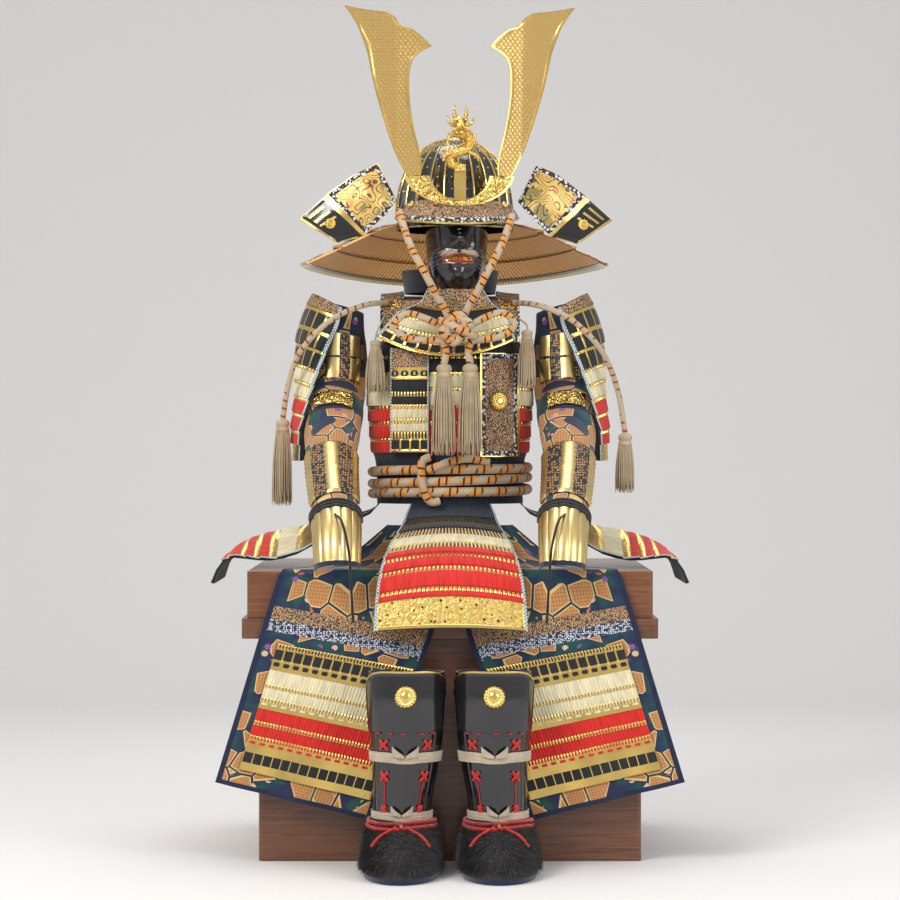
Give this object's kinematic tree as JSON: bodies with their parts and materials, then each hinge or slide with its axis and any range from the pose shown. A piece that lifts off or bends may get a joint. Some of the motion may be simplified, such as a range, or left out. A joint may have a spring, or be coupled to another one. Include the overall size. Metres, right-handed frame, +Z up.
{
  "type": "samurai armour on a wooden armour chest",
  "caption": "Laced-plate samurai armour for a child, with crested helmet, mask, sleeves, skirts and shin guards, displayed seated on a wooden chest.",
  "frame": {"origin": "middle of the underside of the chest, on the floor", "axes": "+Z up, the front of the armour faces -Y, +X is the right side seen from the front"},
  "size_m": [0.7316, 0.735, 1.291],
  "materials": {
    "walnut_wood": "satin veneer",
    "plain_wood": "plain",
    "red_laced_plates": "silk lacing over lacquered plates",
    "black_lacquer": "gloss lacquer",
    "gilt_metal": "gilt, embossed",
    "printed_leather": "smoked and printed",
    "brocade": "silk brocade",
    "navy_cloth": "plain weave",
    "beige_silk": "silk cord and tassel",
    "orange_cord": "two-tone braided cord",
    "red_rope": "braided rope",
    "black_cord": "thin black cord",
    "black_fur": "short stiff fur"
  },
  "bodies": {
    "root": {"chest_box": "walnut_wood", "chest_lid": "walnut_wood", "stand": "plain_wood", "cuirass": "red_laced_plates", "skirt_front": "red_laced_plates", "skirt_back": "red_laced_plates", "skirt_left": "red_laced_plates", "skirt_right": "red_laced_plates", "shoulder_guard_left": "red_laced_plates", "shoulder_guard_right": "red_laced_plates", "apron_plates_left": "red_laced_plates", "apron_plates_right": "red_laced_plates", "chest_plate_laced": "black_lacquer", "neck_plate": "black_lacquer", "helmet_bowl": "black_lacquer", "neck_guard_1": "black_lacquer", "neck_guard_2": "black_lacquer", "neck_guard_3": "black_lacquer", "face_mask": "black_lacquer", "shin_guard_left": "black_lacquer", "shin_guard_right": "black_lacquer", "knee_plate_left": "black_lacquer", "knee_plate_right": "black_lacquer", "forearm_guard_left": "gilt_metal", "forearm_guard_right": "gilt_metal", "hand_guard_left": "gilt_metal", "hand_guard_right": "gilt_metal", "turnback_left": "gilt_metal", "turnback_right": "gilt_metal", "horn_left": "gilt_metal", "horn_right": "gilt_metal", "crest_base": "gilt_metal", "dragon": "gilt_metal", "chest_plate_leather": "printed_leather", "visor": "printed_leather", "sleeve_left": "brocade", "sleeve_right": "brocade", "apron_left": "brocade", "apron_right": "brocade", "collar": "navy_cloth", "tassel_left": "beige_silk", "tassel_right": "beige_silk", "shoulder_tassel_left": "beige_silk", "shoulder_tassel_right": "beige_silk", "chest_tassel_left": "beige_silk", "chest_tassel_right": "beige_silk", "shoulder_cord_left": "beige_silk", "shoulder_cord_right": "beige_silk", "neck_cord_left": "orange_cord", "neck_cord_right": "orange_cord", "bow_cord_left": "orange_cord", "bow_cord_right": "orange_cord", "bow_knot": "orange_cord", "waist_rope": "red_rope", "wrist_cord_left": "black_cord", "wrist_cord_right": "black_cord", "boot_left": "black_fur", "boot_right": "black_fur"}
  },
  "joints": []
}
